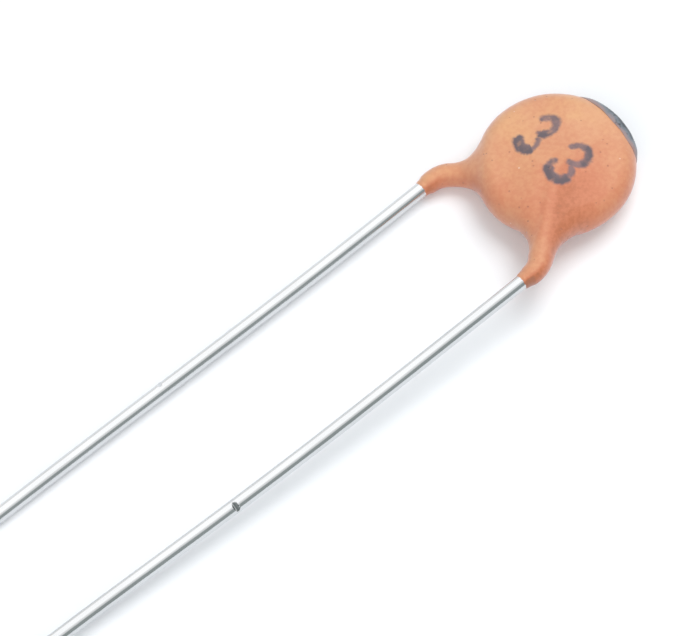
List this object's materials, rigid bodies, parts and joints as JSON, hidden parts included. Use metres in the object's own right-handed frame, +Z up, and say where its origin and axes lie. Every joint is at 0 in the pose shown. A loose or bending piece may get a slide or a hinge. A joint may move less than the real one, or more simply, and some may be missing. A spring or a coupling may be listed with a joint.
{
  "type": "ceramic disc capacitor",
  "caption": "Radial-lead ceramic disc capacitor: round resin-dipped body with a black-painted rim end, printed value number and long straight tinned wire leads.",
  "frame": {"origin": "on the surface that the part lies on, under the middle of its whole length, on the middle line of the leads", "axes": "+X from the cut lead tips towards the painted end of the disc, +Y across the leads towards the rear lead, +Z up out of the printed face"},
  "size_m": [0.0326, 0.006, 0.0019],
  "materials": {
    "ceramic": "matte",
    "silver_film": "satin",
    "solder": "satin",
    "tinned_wire": "polished",
    "orange_resin": "satin",
    "black_paint": "gloss"
  },
  "bodies": {
    "root": {"ceramic_disc": "ceramic", "front_electrode": "silver_film", "rear_electrode": "silver_film", "front_solder": "solder", "rear_solder": "solder", "front_lead": "tinned_wire", "rear_lead": "tinned_wire", "resin_coating": "orange_resin", "black_tip": "black_paint"}
  },
  "joints": []
}
